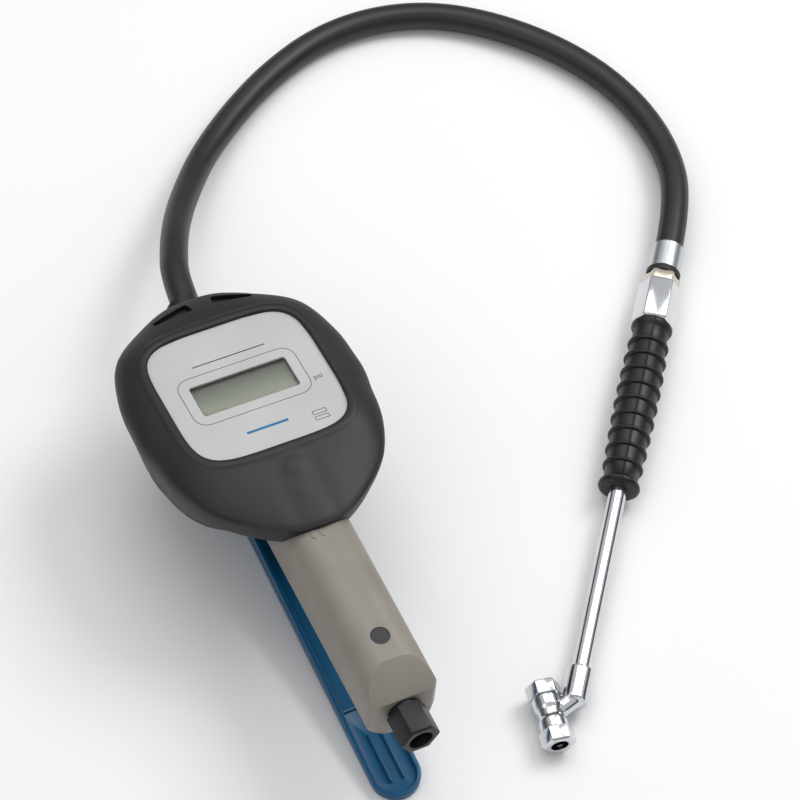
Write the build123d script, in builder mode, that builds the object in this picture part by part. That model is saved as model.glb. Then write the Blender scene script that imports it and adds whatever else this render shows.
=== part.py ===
from build123d import *
from math import cos, pi, radians, sin, tan
import os

# A hand-held tyre inflator with a gauge. The handle and the air line run along Y, with the threaded
# inlet at -Y and the hose outlet at +Y. +Z is up, and Z = 0 is the surface that it lies on. The origin
# is under the middle of the gun. All sizes are in millimetres.

# ---- Driving dimensions: overall
half_length = 130.0  # from the origin to the inlet face, and to the nose of the boot
axis_z = 63.0  # height of the handle and of its air tube
fit_gap = 0.3  # clearance between shells that only lie side by side
run_gap = 0.05  # radial clearance of what slides or turns
skin = 2.5  # wall of the rear case

# ---- Gauge head
face_tilt = 6.5  # degrees that the facia leans towards the hose
face_z = 86.0  # height of the facia at its middle
boot_nose = 68.0  # from the middle of the facia to the nose, along the facia
boot_chin = 83.0  # and to the chin
boot_half_width = 57.0
boot_rim = 1.8  # rim above the facia
boot_shoulder = 7.0  # depth of the widest part below the facia
boot_waist = 20.0  # depth where the boot starts to narrow
boot_depth = 45.5  # depth of the boot's underside
tilt = radians(face_tilt)
face_y = half_length - boot_nose * cos(tilt) + boot_shoulder * sin(tilt)  # the middle of the facia
case_half = 41.0  # half side of the case, between its corners
case_bow = 3.5  # how far each side bows out
case_corner = 11.0
case_shift = -1.0  # the case's middle, along the facia
case_wall = 2.0
case_depth = 42.0
case_split = 12.0  # depth of the joint between front and rear case
seal_thick = 1.0
facia_half = 37.0
facia_bow = 3.4
facia_corner = 9.0
facia_thick = 1.2
plate_thick = 1.8  # front wall of the front case
window_x = -1.2
window_width = 49.0
window_length = 19.2
lens_margin = 2.0
post_x = 34.0
post_y = 32.0
post_radius = 3.5
case_screw_radius = 1.6

# ---- Display and board
lcd_width = 54.0
lcd_length = 26.0
lcd_thick = 2.8
holder_rim = 2.2
board_width = 60.0
board_length = 56.0
board_thick = 1.6
board_depth = 9.0
board_post_x = 26.0
board_post_y = 24.0
board_post_radius = 2.6
board_screw_radius = 1.1
sensor_y = 20.0
sensor_radius = 4.5

# ---- Batteries
cell_radius = 5.25
cell_length = 44.5
cell_x = (20.5, 31.5)
contact_thick = 0.6
partition_thick = 1.6
cover_thick = 2.0
cover_screw_y = 26.8
cover_screw_radius = 1.1

# ---- Valve block
block_half_width = 13.0
block_top = 17.0  # depth of its top below the facia
block_rear = -41.0
block_front = 39.0
tube_radius = 7.5
tube_bore = 5.0
tube_front_y = face_y - 49.23
rear_boss_radius = 10.0
rear_boss_y = tube_front_y - 12.5
outlet_x = 2.0
outlet_z = 51.0
outlet_radius = 9.5
outlet_y = half_length - 16
outlet_boss_length = 20.0
gallery_radius = 1.8
passage_radius = 3.0
seat_z = 54.2
inlet_valve_y = face_y - 11.23
exhaust_valve_y = face_y + 2.77
stem_gap = 0.35

# ---- Lever
pivot_y = face_y + 18.77
pin_radius = 2.5
lever_slope = 4.5  # degrees
lever_tip_y = 7 - half_length
lever_width = 24.0
lever_floor = 2.2
lever_wall = 2.0
lever_tip_height = 4.5
lever_front_height = 12.0
lever_length = pivot_y - lever_tip_y + 8
pivot_above_floor = 7.0
bracket_half_width = 9.5
bracket_rear_y = pivot_y - 9.5
bracket_front_y = pivot_y + 10

# ---- Handle
handle_width = 34.0
handle_height = 40.5
handle_corner = 13.0
handle_wall = 2.6
tail_chamfer = 3.0
facet_length = 15.0  # sloping facet on top of the tail
facet_slope = 37.0  # degrees
handle_front_y = tube_front_y - 7
handle_tail_y = 18 - half_length
split_z = 57.0
shell_post_x = tube_radius + 4.0
shell_post_y = (handle_front_y - 37, handle_tail_y + 14)
shell_post_radius = 3.2
shell_screw_radius = 1.2
plug_y = handle_tail_y + 28.2
plug_radius = 4.6

# ---- Inlet
inlet_flats = 17.0
inlet_hex_length = 16.0
inlet_bore = 5.72
inlet_thread_length = 12.0
filter_thick = 2.0
filter_radius = 5.0
spigot_length = 14.0

# ---- Hose and connector
hose_radius = 7.0
ferrule_wall = 1.2
outlet_hex_length = 6.0
outlet_hex_flats = 17.0
outlet_ferrule_length = 20.0
hose_rest_z = hose_radius + 0.05
connector_end = (253.0, 105.6, 12.5)  # where the hose enters the connector's ferrule
connector_heading = (-0.596, -0.803, -0.0118)
connector_ferrule_length = 15.5
washer_length = 3.0
tail_nut_length = 5.5
tail_nut_flats = 16.0
long_hex_length = 25.0
long_hex_flats = 19.0
grip_length = 102.0
grip_ring_count = 9
grip_core_radius = 8.4
grip_belly = 1.2
ring_height = 1.3
ring_width = 2.4
flange_radius = 10.2
flange_width = 4.0
stem_radius = 4.4
stem_bore = 2.5
stem_total_length = 216.0
head_centre = (78.3, -113.9, 9.3)
head_heading = (-0.185, -0.982, -0.04)
barrel_radius = 7.0
barrel_half_length = 9.0
socket_radius = 6.5
neck_radius = 4.8
socket_length = 18.0
cap_flats = 14.5
cap_length = 7.5
cap_mouth = 4.2
cap_mouth_length = 4.0
seal_bore = 3.9
pin_stem_radius = 1.3
pin_flange_radius = 3.2
pin_travel = 2.0

# ---- Places worked out from the driving dimensions
slope = radians(lever_slope)
face = Plane(origin=(0, face_y, face_z), x_dir=(1, 0, 0), z_dir=(0, sin(tilt), cos(tilt)))
case_floor = case_depth - skin
handle_top_z = axis_z + handle_height / 2
facet = Plane(
    origin=(0, handle_tail_y + facet_length, handle_top_z),
    x_dir=(1, 0, 0),
    z_dir=(0, -sin(radians(facet_slope)), cos(radians(facet_slope))),
)
pivot_z = (pivot_y - lever_tip_y) * tan(slope) + pivot_above_floor
lever = Plane(origin=(0, lever_tip_y, 0), x_dir=(1, 0, 0), z_dir=(0, -sin(slope), cos(slope)))


def lever_floor_z(y):
    """Height of the lever's inner floor at rest."""
    return (y - lever_tip_y) * tan(slope) + lever_floor / cos(slope)


def gun_plane(y, z=axis_z, x=0.0):
    """A plane across the gun, seen from the tail, with its local Y upwards."""
    return Plane(origin=(x, y, z), x_dir=(-1, 0, 0), z_dir=(0, 1, 0))


def bowed_square(half, bow, corner, shift=0.0):
    """A square with sides that bow outwards and round corners."""
    with BuildSketch(Plane.XY) as outline:
        with BuildLine():
            ThreePointArc((-half, shift - half), (0, shift - half - bow), (half, shift - half))
            ThreePointArc((half, shift - half), (half + bow, shift), (half, shift + half))
            ThreePointArc((half, shift + half), (0, shift + half + bow), (-half, shift + half))
            ThreePointArc((-half, shift + half), (-half - bow, shift), (-half, shift - half))
        make_face()
        fillet(outline.vertices(), corner)
    return outline.sketch


def case_outline(inset):
    """The case's outline, moved inwards by the inset."""
    return bowed_square(case_half - inset, case_bow, case_corner - inset, case_shift)


def boot_outline(half_width, nose, chin):
    """The boot's outline: a blunt nose, shoulders, and a chin that narrows to the handle."""
    shape = ((0.21, 0.99), (0.526, 0.855), (0.84, 0.655), (0.955, 0.39), (1.0, 0.08), (0.965, -0.24))
    shape += ((0.87, -0.54), (0.77, -0.68), (0.6, -0.8), (0.43, -0.9), (0.22, -0.985))
    right = [(x * half_width, y * (nose if y > 0 else chin)) for x, y in shape]
    left = [(-x, y) for x, y in reversed(right)]
    with BuildSketch(Plane.XY) as outline:
        with BuildLine():
            Spline([(0, nose), *right, (0, -chin), *left], periodic=True)
        make_face()
    return outline.sketch


def handle_section(inset):
    """The handle's rounded section, moved inwards by the inset."""
    with BuildSketch(Plane.XY) as section:
        RectangleRounded(handle_width - 2 * inset, handle_height - 2 * inset, handle_corner - inset)
    return section.sketch


def finish(part, label):
    """Names a finished piece and writes it."""
    part.part.label = label
    export_step(part.part, f"parts/{label}.step")


os.makedirs("parts", exist_ok=True)

# ======== Gauge head ========
boot_sections = (
    (boot_rim, boot_outline(boot_half_width - 9, boot_nose - 12, boot_chin - 26)),
    (-boot_shoulder, boot_outline(boot_half_width, boot_nose, boot_chin)),
    (-boot_waist, boot_outline(boot_half_width - 1, boot_nose - 0.5, boot_chin - 3)),
    (-boot_depth, boot_outline(boot_half_width - 8, boot_nose - 9, boot_chin - 29)),
)
lip_opening = bowed_square(facia_half - 0.8, facia_bow, facia_corner - 0.8)
cover_x = sum(cell_x) / 2
cover_width = cell_x[1] - cell_x[0] + 2 * cell_radius + 1.5
cover_length = cell_length + 2 * contact_thick + 2.0
tab_width = 8.0
tab_length = 2 * cover_screw_y + 6.0
window_rear = -14.5
window_front = 37.5
lever_window_width = 2 * bracket_half_width + 3.0

with BuildPart() as rubber_boot:
    for near, far in zip(boot_sections, boot_sections[1:]):
        for depth, outline in (near, far):
            with BuildSketch(face.offset(depth)):
                add(outline)
        loft(ruled=True)
    # Pocket for the case, and the opening over the facia.
    with BuildSketch(face.offset(-case_depth)):
        add(case_outline(-fit_gap))
    extrude(amount=case_depth, mode=Mode.SUBTRACT)
    with BuildSketch(face):
        add(lip_opening)
    extrude(amount=boot_rim + 1, mode=Mode.SUBTRACT)
    # Neck for the handle.
    with BuildSketch(gun_plane(-half_length)):
        add(handle_section(-fit_gap))
    extrude(amount=half_length + handle_front_y + 1, mode=Mode.SUBTRACT)
    with BuildSketch(gun_plane(rear_boss_y - 1)):
        Circle(rear_boss_radius + fit_gap)
    extrude(amount=20, mode=Mode.SUBTRACT)
    # Way out for the hose.
    with BuildSketch(gun_plane(outlet_y - 15, outlet_z, outlet_x)):
        Circle(outlet_hex_flats / 2 + 2.5)
    extrude(amount=40, mode=Mode.SUBTRACT)
    # Underside: lever window and battery cover.
    with BuildSketch(face.offset(-boot_depth - 1)):
        with Locations((0, (window_rear + window_front) / 2)):
            Rectangle(lever_window_width, window_front - window_rear)
        with Locations((cover_x, 0)):
            Rectangle(cover_width + 4.6, cover_length + 4.6)
            Rectangle(tab_width + 0.6, tab_length + 0.6)
    extrude(amount=boot_depth - case_depth + 2, mode=Mode.SUBTRACT)
    # Two slots through the top edge of the rim.
    with BuildSketch(face.offset(-6)):
        with Locations((-18, 52), (18, 52)):
            SlotOverall(17, 4.5)
    extrude(amount=10, mode=Mode.SUBTRACT)

with BuildPart() as facia_panel:
    with BuildSketch(face.offset(-facia_thick)):
        add(bowed_square(facia_half, facia_bow, facia_corner))
        with Locations((window_x, 0)):
            RectangleRounded(window_width, window_length, 1.5, mode=Mode.SUBTRACT)
    extrude(amount=facia_thick)

lens_width = window_width + 2 * lens_margin
lens_length = window_length + 2 * lens_margin
plate_depth = facia_thick + plate_thick
with BuildPart() as display_lens:
    with BuildSketch(face.offset(-plate_depth)):
        with Locations((window_x, 0)):
            Rectangle(lens_width, lens_length)
    extrude(amount=plate_thick)

posts = [(x, case_shift + y) for x in (-post_x, post_x) for y in (-post_y, post_y)]
board_posts = [(x, y) for x in (-board_post_x, board_post_x) for y in (-board_post_y, board_post_y)]
with BuildPart() as front_case:
    with BuildSketch(face.offset(-case_split)):
        add(case_outline(0))
    extrude(amount=case_split - facia_thick)
    with BuildSketch(face.offset(-case_split)):
        add(case_outline(case_wall))
    extrude(amount=case_split - plate_depth, mode=Mode.SUBTRACT)
    with BuildSketch(face.offset(-case_split - seal_thick)):
        with Locations(*posts):
            Circle(post_radius)
            Circle(case_screw_radius, mode=Mode.SUBTRACT)
    extrude(amount=case_split + seal_thick - plate_depth)
    with BuildSketch(face.offset(-board_depth)):
        with Locations(*board_posts):
            Circle(board_post_radius)
            Circle(board_screw_radius, mode=Mode.SUBTRACT)
    extrude(amount=board_depth - plate_depth)
    with BuildSketch(face.offset(-plate_depth)):
        with Locations((window_x, 0)):
            Rectangle(lens_width, lens_length)
    extrude(amount=plate_thick, mode=Mode.SUBTRACT)

with BuildPart() as case_seal:
    with BuildSketch(face.offset(-case_split - seal_thick)):
        add(case_outline(0))
        add(case_outline(case_wall), mode=Mode.SUBTRACT)
        with Locations(*posts):
            Circle(post_radius, mode=Mode.SUBTRACT)
    extrude(amount=seal_thick)

rear_top = case_split + seal_thick
partition_y = cell_length / 2 + contact_thick
with BuildPart() as rear_case:
    with BuildSketch(face.offset(-case_depth)):
        add(case_outline(0))
    extrude(amount=case_depth - rear_top)
    with BuildSketch(face.offset(-case_floor)):
        add(case_outline(case_wall))
    extrude(amount=case_floor - rear_top, mode=Mode.SUBTRACT)
    with BuildSketch(face.offset(-case_floor)):
        with Locations(*posts):
            Circle(post_radius + 0.8)
    extrude(amount=case_floor - 30)
    with BuildSketch(face.offset(-case_floor)):
        with Locations(*posts):
            Circle(post_radius)
        for side in (-1, 1):
            with Locations((cover_x, side * (partition_y + partition_thick / 2))):
                Rectangle(cover_width, partition_thick)
            with Locations((cover_x, side * cover_screw_y)):
                Circle(2.4)
    extrude(amount=8)
    with BuildSketch(face.offset(-case_floor)):
        with Locations(*posts):
            Circle(post_radius)
    extrude(amount=case_floor - rear_top)
    with BuildSketch(face.offset(-case_depth)):
        with Locations(*posts):
            Circle(case_screw_radius + 0.1)
    extrude(amount=case_depth - rear_top, mode=Mode.SUBTRACT)
    with BuildSketch(face.offset(-case_depth)):
        with Locations(*posts):
            Circle(case_screw_radius * 2 + 0.1)
    extrude(amount=4, mode=Mode.SUBTRACT)
    with BuildSketch(face.offset(-case_depth)):
        with Locations((0, (window_rear + window_front) / 2)):
            Rectangle(lever_window_width, window_front - window_rear)
        with Locations((cover_x, 0)):
            Rectangle(cover_width, cell_length + 2 * contact_thick)
    extrude(amount=skin, mode=Mode.SUBTRACT)
    with BuildSketch(face.offset(-case_depth)):
        with Locations((cover_x, -cover_screw_y), (cover_x, cover_screw_y)):
            Circle(cover_screw_radius)
    extrude(amount=8, mode=Mode.SUBTRACT)
    with BuildSketch(gun_plane(rear_boss_y)):
        Circle(rear_boss_radius + fit_gap)
    extrude(amount=22, mode=Mode.SUBTRACT)
    with BuildSketch(gun_plane(outlet_y - outlet_boss_length - fit_gap, outlet_z, outlet_x)):
        Circle(outlet_radius + fit_gap)
    extrude(amount=outlet_boss_length, mode=Mode.SUBTRACT)

with BuildPart() as case_screws:
    with BuildSketch(face.offset(-case_depth + 1.2)):
        with Locations(*posts):
            Circle(case_screw_radius * 2)
    extrude(amount=2.8)
    with BuildSketch(face.offset(-case_depth + 4)):
        with Locations(*posts):
            Circle(case_screw_radius)
    extrude(amount=case_depth - 10)

lcd_top = plate_depth + 0.2
with BuildPart() as lcd_module:
    with BuildSketch(face.offset(-lcd_top - lcd_thick)):
        with Locations((window_x, 0)):
            Rectangle(lcd_width, lcd_length)
    extrude(amount=lcd_thick)

with BuildPart() as lcd_holder:
    with BuildSketch(face.offset(-lcd_top - lcd_thick)):
        with Locations((window_x, 0)):
            Rectangle(lcd_width + 2 * holder_rim, lcd_length + 2 * holder_rim)
            Rectangle(lcd_width, lcd_length, mode=Mode.SUBTRACT)
    extrude(amount=lcd_top + lcd_thick - plate_depth)

with BuildPart() as elastomer_connectors:
    with BuildSketch(face.offset(-board_depth)):
        with Locations((window_x, -lcd_length / 2 + 1.5), (window_x, lcd_length / 2 - 1.5)):
            Rectangle(lcd_width - 4, 2)
    extrude(amount=board_depth - lcd_top - lcd_thick)

board_bottom = board_depth + board_thick
with BuildPart() as circuit_board:
    with BuildSketch(face.offset(-board_bottom)):
        RectangleRounded(board_width, board_length, 2)
        with Locations(*board_posts):
            Circle(board_screw_radius + 0.1, mode=Mode.SUBTRACT)
    extrude(amount=board_thick)

with BuildPart() as board_screws:
    with BuildSketch(face.offset(-board_bottom - 1.4)):
        with Locations(*board_posts):
            Circle(board_screw_radius * 2)
    extrude(amount=1.4)
    with BuildSketch(face.offset(-board_bottom)):
        with Locations(*board_posts):
            Circle(board_screw_radius)
    extrude(amount=5)

with BuildPart() as board_chips:
    with BuildSketch(face.offset(-board_bottom - 1.6)):
        with Locations((-14, -6)):
            Rectangle(12, 12)
        with Locations((14, -10)):
            Rectangle(8, 5)
        with Locations((-16, 16)):
            Rectangle(6, 4)
    extrude(amount=1.6)

sensor_foot = board_bottom + 4.9
nipple_end = block_top + 3.0
with BuildPart() as pressure_sensor:
    with BuildSketch(face.offset(-sensor_foot)):
        with Locations((0, sensor_y)):
            Circle(sensor_radius)
    extrude(amount=sensor_foot - board_bottom)
    with BuildSketch(face.offset(-nipple_end)):
        with Locations((0, sensor_y)):
            Circle(1.5)
    extrude(amount=nipple_end - sensor_foot)

with BuildPart() as sensor_seal:
    with BuildSketch(face.offset(-nipple_end + 0.5)):
        with Locations((0, sensor_y)):
            Circle(2.8)
            Circle(1.5, mode=Mode.SUBTRACT)
    extrude(amount=1.8)

cell_depth = case_floor - cell_radius - 0.8
cell_plane = Plane(
    origin=face.from_local_coords((0, -cell_length / 2, -cell_depth)),
    x_dir=(1, 0, 0),
    z_dir=face.y_dir,
)
with BuildPart() as batteries:
    with BuildSketch(cell_plane):
        with Locations((cell_x[0], 0), (cell_x[1], 0)):
            Circle(cell_radius)
    extrude(amount=cell_length - 1.0)
    with BuildSketch(cell_plane.offset(cell_length - 1.0)):
        with Locations((cell_x[0], 0), (cell_x[1], 0)):
            Circle(2.4)
    extrude(amount=1.0)

with BuildPart() as battery_contacts:
    with BuildSketch(cell_plane.offset(-contact_thick)):
        with Locations((cover_x, 0)):
            Rectangle(cover_width - 2, 8)
    extrude(amount=contact_thick)
    with BuildSketch(cell_plane.offset(cell_length)):
        with Locations((cell_x[0], 0), (cell_x[1], 0)):
            Rectangle(8, 8)
    extrude(amount=contact_thick)

with BuildPart() as battery_cover:
    with BuildSketch(face.offset(-case_depth - cover_thick)):
        with Locations((cover_x, 0)):
            Rectangle(cover_width + 4, cover_length + 4)
            Rectangle(tab_width, tab_length)
        with Locations((cover_x, -cover_screw_y), (cover_x, cover_screw_y)):
            Circle(cover_screw_radius + 0.1, mode=Mode.SUBTRACT)
    extrude(amount=cover_thick)
    with BuildSketch(face.offset(-case_depth)):
        with Locations((cover_x, 0)):
            Rectangle(cover_width - 0.6, cell_length + 2 * contact_thick - 0.6)
    extrude(amount=skin - 0.6)

with BuildPart() as battery_cover_screws:
    with BuildSketch(face.offset(-case_depth - cover_thick - 1.2)):
        with Locations((cover_x, -cover_screw_y), (cover_x, cover_screw_y)):
            Circle(cover_screw_radius * 2)
    extrude(amount=1.2)
    with BuildSketch(face.offset(-case_depth - cover_thick)):
        with Locations((cover_x, -cover_screw_y), (cover_x, cover_screw_y)):
            Circle(cover_screw_radius)
    extrude(amount=cover_thick + 6)

# ======== Valve block ========
inlet_chamber_radius = 5.0
inlet_cap_radius = 5.5
inlet_cap_z = 66.3
exhaust_chamber_radius = 4.0
exhaust_cap_radius = 4.5
exhaust_cap_z = 64.8
inlet_stem_radius = 1.8
exhaust_stem_radius = 1.5
cap_height = 3.0
bracket_screw_y = (pivot_y - 6.2, pivot_y + 6.6)
bracket_screw_radius = 1.6
bracket_screw_top = 48.5

with BuildPart() as valve_body:
    with BuildSketch(face.offset(-case_floor)):
        with Locations((0, (block_rear + block_front) / 2)):
            Rectangle(2 * block_half_width, block_front - block_rear)
    extrude(amount=case_floor - block_top)
    with BuildSketch(gun_plane(rear_boss_y)):
        Circle(rear_boss_radius)
    extrude(amount=24)
    with BuildSketch(gun_plane(outlet_y - outlet_boss_length, outlet_z, outlet_x)):
        Circle(outlet_radius)
    extrude(amount=outlet_boss_length)
    # Socket of the handle tube, the passage to the inlet valve, and the gallery to the hose.
    with BuildSketch(gun_plane(rear_boss_y)):
        Circle(tube_radius)
    extrude(amount=tube_front_y - rear_boss_y, mode=Mode.SUBTRACT)
    with BuildSketch(gun_plane(tube_front_y)):
        Circle(passage_radius)
    extrude(amount=inlet_valve_y - tube_front_y, mode=Mode.SUBTRACT)
    with BuildSketch(gun_plane(inlet_valve_y, outlet_z, outlet_x)):
        Circle(gallery_radius)
    extrude(amount=outlet_y - inlet_valve_y, mode=Mode.SUBTRACT)
    # Two valve chambers, open at the top for their caps.
    for y, stem, chamber, cap, cap_z in (
        (inlet_valve_y, inlet_stem_radius, inlet_chamber_radius, inlet_cap_radius, inlet_cap_z),
        (exhaust_valve_y, exhaust_stem_radius, exhaust_chamber_radius, exhaust_cap_radius, exhaust_cap_z),
    ):
        with BuildSketch(Plane.XY.offset(30)):
            with Locations((0, y)):
                Circle(stem + run_gap)
        extrude(amount=seat_z - 30, mode=Mode.SUBTRACT)
        with BuildSketch(Plane.XY.offset(seat_z)):
            with Locations((0, y)):
                Circle(chamber)
        extrude(amount=cap_z - seat_z, mode=Mode.SUBTRACT)
        with BuildSketch(Plane.XY.offset(cap_z)):
            with Locations((0, y)):
                Circle(cap)
        extrude(amount=20, mode=Mode.SUBTRACT)
    with BuildSketch(face.offset(-nipple_end)):
        with Locations((0, sensor_y)):
            Circle(2.8)
    extrude(amount=nipple_end - block_top, mode=Mode.SUBTRACT)
    with BuildSketch(Plane.XY.offset(30)):
        with Locations((0, bracket_screw_y[0]), (0, bracket_screw_y[1])):
            Circle(bracket_screw_radius)
    extrude(amount=bracket_screw_top - 30, mode=Mode.SUBTRACT)


def coil_spring(radius, wire, turns, y, low_z, high_z):
    """A compression spring with a round wire, standing between two heights."""
    height = high_z - low_z - 2 * wire
    pitch = height / turns
    with BuildPart() as spring:
        with BuildLine():
            Helix(pitch, height, radius, center=(0, y, low_z + wire))
        with BuildSketch(Plane(origin=(radius, y, low_z + wire), z_dir=(0, 1, pitch / (2 * pi * radius)))):
            Circle(wire)
        sweep(is_frenet=True)
    return spring


def valve_pieces(y, stem_radius, head_radius, seal_thickness, head_thickness):
    """A valve stem that stands over the lever, and the seal under its head."""
    with BuildPart() as stem:
        with BuildSketch(Plane.XY.offset(lever_floor_z(y) + stem_gap)):
            with Locations((0, y)):
                Circle(stem_radius)
        extrude(amount=seat_z + seal_thickness - lever_floor_z(y) - stem_gap)
        fillet(stem.edges().sort_by(Axis.Z)[0], stem_radius * 0.8)
        with BuildSketch(Plane.XY.offset(seat_z + seal_thickness)):
            with Locations((0, y)):
                Circle(head_radius)
        extrude(amount=head_thickness)
        with BuildSketch(Plane.XY.offset(seat_z + seal_thickness + head_thickness)):
            with Locations((0, y)):
                Circle(stem_radius * 0.7)
        extrude(amount=1.5)
    with BuildPart() as seal:
        with BuildSketch(Plane.XY.offset(seat_z)):
            with Locations((0, y)):
                Circle(head_radius)
                Circle(stem_radius, mode=Mode.SUBTRACT)
        extrude(amount=seal_thickness)
    return stem, seal


def valve_cap(y, radius, low_z):
    """A screwed plug over a valve chamber, with a slot for a driver."""
    with BuildPart() as cap:
        with BuildSketch(Plane.XY.offset(low_z)):
            with Locations((0, y)):
                Circle(radius)
        extrude(amount=cap_height)
        with BuildSketch(Plane.XY.offset(low_z + cap_height - 1)):
            with Locations((0, y)):
                Rectangle(2 * radius, 1.2)
        extrude(amount=1, mode=Mode.SUBTRACT)
    return cap


seal_thickness = 1.4
head_thickness = 1.0
spring_foot = seat_z + seal_thickness + head_thickness
inlet_valve_stem, inlet_valve_seal = valve_pieces(
    inlet_valve_y, inlet_stem_radius, 4.4, seal_thickness, head_thickness
)
inlet_valve_spring = coil_spring(3.0, 0.4, 4, inlet_valve_y, spring_foot, inlet_cap_z)
inlet_valve_cap = valve_cap(inlet_valve_y, inlet_cap_radius, inlet_cap_z)
exhaust_valve_stem, exhaust_valve_seal = valve_pieces(
    exhaust_valve_y, exhaust_stem_radius, 3.4, seal_thickness, head_thickness
)
exhaust_valve_spring = coil_spring(2.4, 0.35, 4, exhaust_valve_y, spring_foot, exhaust_cap_z)
exhaust_valve_cap = valve_cap(exhaust_valve_y, exhaust_cap_radius, exhaust_cap_z)

bracket_length = bracket_front_y - bracket_rear_y
with BuildPart() as lever_bracket:
    with BuildSketch(Plane.XY):
        with Locations((0, (bracket_rear_y + bracket_front_y) / 2)):
            RectangleRounded(2 * bracket_half_width, bracket_length, 2)
    extrude(amount=face_z)
    split(bisect_by=face.offset(-case_floor), keep=Keep.BOTTOM)
    with BuildSketch(Plane.YZ.offset(-lever_width)):
        with Locations((pivot_y, pivot_z)):
            Circle(pin_radius)
    extrude(amount=2 * lever_width, mode=Mode.SUBTRACT)
    with BuildSketch(Plane.XY):
        with Locations((0, bracket_screw_y[0]), (0, bracket_screw_y[1])):
            Circle(bracket_screw_radius + 0.1)
    extrude(amount=face_z, mode=Mode.SUBTRACT)
    with BuildSketch(Plane.XY):
        with Locations((0, bracket_screw_y[0]), (0, bracket_screw_y[1])):
            Circle(bracket_screw_radius * 2)
    extrude(amount=pivot_z + 8, mode=Mode.SUBTRACT)

with BuildPart() as bracket_screws:
    with BuildSketch(Plane.XY.offset(pivot_z + 5.5)):
        with Locations((0, bracket_screw_y[0]), (0, bracket_screw_y[1])):
            Circle(bracket_screw_radius * 2 - 0.1)
    extrude(amount=2.5)
    with BuildSketch(Plane.XY.offset(pivot_z + 8)):
        with Locations((0, bracket_screw_y[0]), (0, bracket_screw_y[1])):
            Circle(bracket_screw_radius)
    extrude(amount=bracket_screw_top - pivot_z - 8)

# ======== Handle ========
shell_posts = [(x, y) for x in (-shell_post_x, shell_post_x) for y in shell_post_y]
post_low_z = axis_z - handle_height / 2 + 5.5
plug_floor_z = handle_top_z - 5.0
boss_top_z = plug_floor_z - 3.2


with BuildPart() as handle_cavity:
    with BuildSketch(gun_plane(handle_tail_y + handle_wall)):
        add(handle_section(handle_wall))
    extrude(amount=handle_front_y - handle_tail_y)
    split(bisect_by=facet.offset(-handle_wall), keep=Keep.BOTTOM)
    with BuildSketch(Plane.XY):
        with Locations(*shell_posts):
            Circle(shell_post_radius)
    extrude(amount=axis_z + handle_height, mode=Mode.SUBTRACT)
    with BuildSketch(Plane.XY.offset(boss_top_z)):
        with Locations((0, plug_y)):
            Circle(plug_radius + 1.4)
    extrude(amount=handle_height, mode=Mode.SUBTRACT)


def handle_shell(keep):
    """The hollow handle on one side of its joint, with its screw posts."""
    with BuildPart() as shell:
        with BuildSketch(gun_plane(handle_tail_y)):
            add(handle_section(0))
        extrude(amount=handle_front_y - handle_tail_y)
        chamfer(shell.faces().sort_by(Axis.Y)[0].edges(), tail_chamfer)
        split(bisect_by=facet, keep=Keep.BOTTOM)
        add(handle_cavity.part, mode=Mode.SUBTRACT)
        with BuildSketch(gun_plane(handle_tail_y)):
            Circle(tube_radius + fit_gap)
        extrude(amount=handle_wall, mode=Mode.SUBTRACT)
        with BuildSketch(Plane.XY.offset(plug_floor_z)):
            with Locations((0, plug_y)):
                Circle(plug_radius)
        extrude(amount=handle_height, mode=Mode.SUBTRACT)
        with BuildSketch(Plane.XY.offset(boss_top_z)):
            with Locations((0, plug_y)):
                Circle(2.2)
        extrude(amount=handle_height, mode=Mode.SUBTRACT)
        with BuildSketch(Plane.XY):
            with Locations(*shell_posts):
                Circle(shell_screw_radius)
        extrude(amount=split_z + 12, mode=Mode.SUBTRACT)
        with BuildSketch(Plane.XY):
            with Locations(*shell_posts):
                Circle(shell_screw_radius * 2)
        extrude(amount=post_low_z + 3, mode=Mode.SUBTRACT)
        split(bisect_by=Plane.XY.offset(split_z), keep=keep)
    return shell


upper_handle_shell = handle_shell(Keep.TOP)
lower_handle_shell = handle_shell(Keep.BOTTOM)

with BuildPart() as shell_screws:
    with BuildSketch(Plane.XY.offset(post_low_z + 1)):
        with Locations(*shell_posts):
            Circle(shell_screw_radius * 2 - 0.1)
    extrude(amount=2)
    with BuildSketch(Plane.XY.offset(post_low_z + 3)):
        with Locations(*shell_posts):
            Circle(shell_screw_radius)
    extrude(amount=split_z - post_low_z + 6)

inlet_y = -half_length
hex_back_y = inlet_y + inlet_hex_length
tube_boss_hole_z = boss_top_z - 3.5
with BuildPart() as handle_tube:
    with BuildSketch(gun_plane(hex_back_y)):
        Circle(tube_radius)
    extrude(amount=tube_front_y - hex_back_y)
    with BuildSketch(Plane.XY.offset(axis_z)):
        with Locations((0, plug_y)):
            Circle(4.5)
    extrude(amount=boss_top_z - axis_z)
    with BuildSketch(gun_plane(hex_back_y)):
        Circle(tube_bore)
    extrude(amount=tube_front_y - hex_back_y, mode=Mode.SUBTRACT)
    with BuildSketch(Plane.XY.offset(tube_boss_hole_z)):
        with Locations((0, plug_y)):
            Circle(1.95)
    extrude(amount=10, mode=Mode.SUBTRACT)

with BuildPart() as tube_screw:
    with BuildSketch(Plane.XY.offset(tube_boss_hole_z)):
        with Locations((0, plug_y)):
            Circle(1.95)
    extrude(amount=plug_floor_z - tube_boss_hole_z)
    with BuildSketch(Plane.XY.offset(plug_floor_z)):
        with Locations((0, plug_y)):
            Circle(3.5)
    extrude(amount=2)

with BuildPart() as handle_plug:
    with BuildSketch(Plane.XY.offset(plug_floor_z + 2.4)):
        with Locations((0, plug_y)):
            Circle(plug_radius)
    extrude(amount=2.3)
    fillet(handle_plug.edges().sort_by(Axis.Z)[-1], 0.5)

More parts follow.
